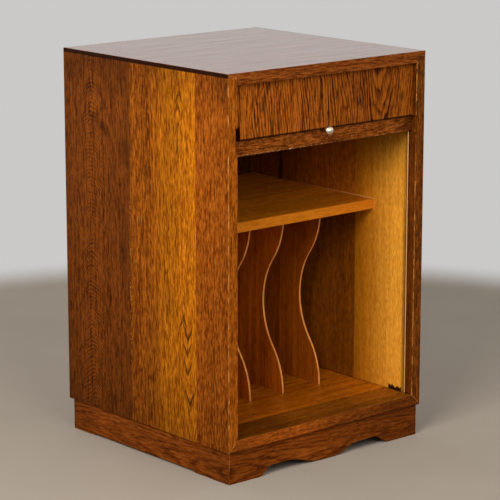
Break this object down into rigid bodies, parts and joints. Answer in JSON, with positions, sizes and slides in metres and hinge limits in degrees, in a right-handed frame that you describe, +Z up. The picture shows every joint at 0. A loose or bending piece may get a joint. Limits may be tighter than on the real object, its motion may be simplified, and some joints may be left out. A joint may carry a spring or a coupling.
{
  "type": "record cabinet",
  "caption": "Oak record cabinet on a scalloped plinth, with a roller shutter that closes the front, an open compartment over a shelf and curved record dividers below.",
  "frame": {"origin": "at floor level under the middle of the carcass", "axes": "+X to the right of someone facing the front, +Y to the back, +Z up"},
  "size_m": [0.492, 0.496, 0.76],
  "materials": {
    "side_oak": "stained oak, satin varnish",
    "top_oak": "stained oak, polished",
    "sill_oak": "stained oak, satin varnish",
    "fascia_oak": "striped oak, satin varnish",
    "rail_oak": "mottled oak, satin varnish",
    "shutter_oak": "stained oak, satin varnish",
    "plinth_oak": "stained oak, satin varnish",
    "lipping_oak": "light oak, satin varnish",
    "floor_ply": "stained plywood, satin varnish",
    "shelf_ply": "stained plywood, satin varnish",
    "divider_ply": "stained plywood, satin varnish",
    "back_ply": "plywood, bare outside",
    "plain_pine": "bare softwood",
    "knob_metal": "polished, worn pale",
    "screw_steel": "plain",
    "canvas": "cotton canvas"
  },
  "bodies": {
    "cabinet": {"back_panel": "back_ply", "canvas": "canvas", "divider_1": "divider_ply", "divider_2": "divider_ply", "divider_3": "divider_ply", "divider_4": "divider_ply", "fascia_batten": "plain_pine", "fascia_panel": "fascia_oak", "floor_board": "floor_ply", "front_sill": "sill_oak", "left_side": "side_oak", "plinth_back": "plinth_oak", "plinth_block_1": "plain_pine", "plinth_block_2": "plain_pine", "plinth_block_3": "plain_pine", "plinth_block_4": "plain_pine", "plinth_front": "plinth_oak", "plinth_left": "plinth_oak", "plinth_right": "plinth_oak", "right_side": "side_oak", "shelf": "shelf_ply", "shelf_lipping": "lipping_oak", "slat_02": "shutter_oak", "slat_03": "shutter_oak", "slat_04": "shutter_oak", "slat_05": "shutter_oak", "slat_06": "shutter_oak", "slat_07": "shutter_oak", "slat_08": "shutter_oak", "slat_09": "shutter_oak", "slat_10": "shutter_oak", "slat_11": "shutter_oak", "slat_12": "shutter_oak", "slat_13": "shutter_oak", "slat_14": "shutter_oak", "slat_15": "shutter_oak", "slat_16": "shutter_oak", "slat_17": "shutter_oak", "slat_18": "shutter_oak", "slat_19": "shutter_oak", "slat_20": "shutter_oak", "slat_21": "shutter_oak", "slat_22": "shutter_oak", "slat_23": "shutter_oak", "slat_24": "shutter_oak", "slat_25": "shutter_oak", "slat_26": "shutter_oak", "slat_27": "shutter_oak", "top_board": "top_oak"},
    "shutter": {"lead_rail": "rail_oak", "knob": "knob_metal", "knob_screw": "screw_steel", "slat_01": "shutter_oak"}
  },
  "joints": [
    {"name": "shutter_slide", "type": "slide", "parent": "cabinet", "child": "shutter", "axis": [0, 0, -1], "range_m": [0, 0.5215], "deforming": ["canvas", "slat_02", "slat_03", "slat_04", "slat_05", "slat_06", "slat_07", "slat_08", "slat_09", "slat_10", "slat_11", "slat_12", "slat_13", "slat_14", "slat_15", "slat_16", "slat_17", "slat_18", "slat_19", "slat_20", "slat_21", "slat_22", "slat_23", "slat_24", "slat_25", "slat_26", "slat_27"]}
  ]
}
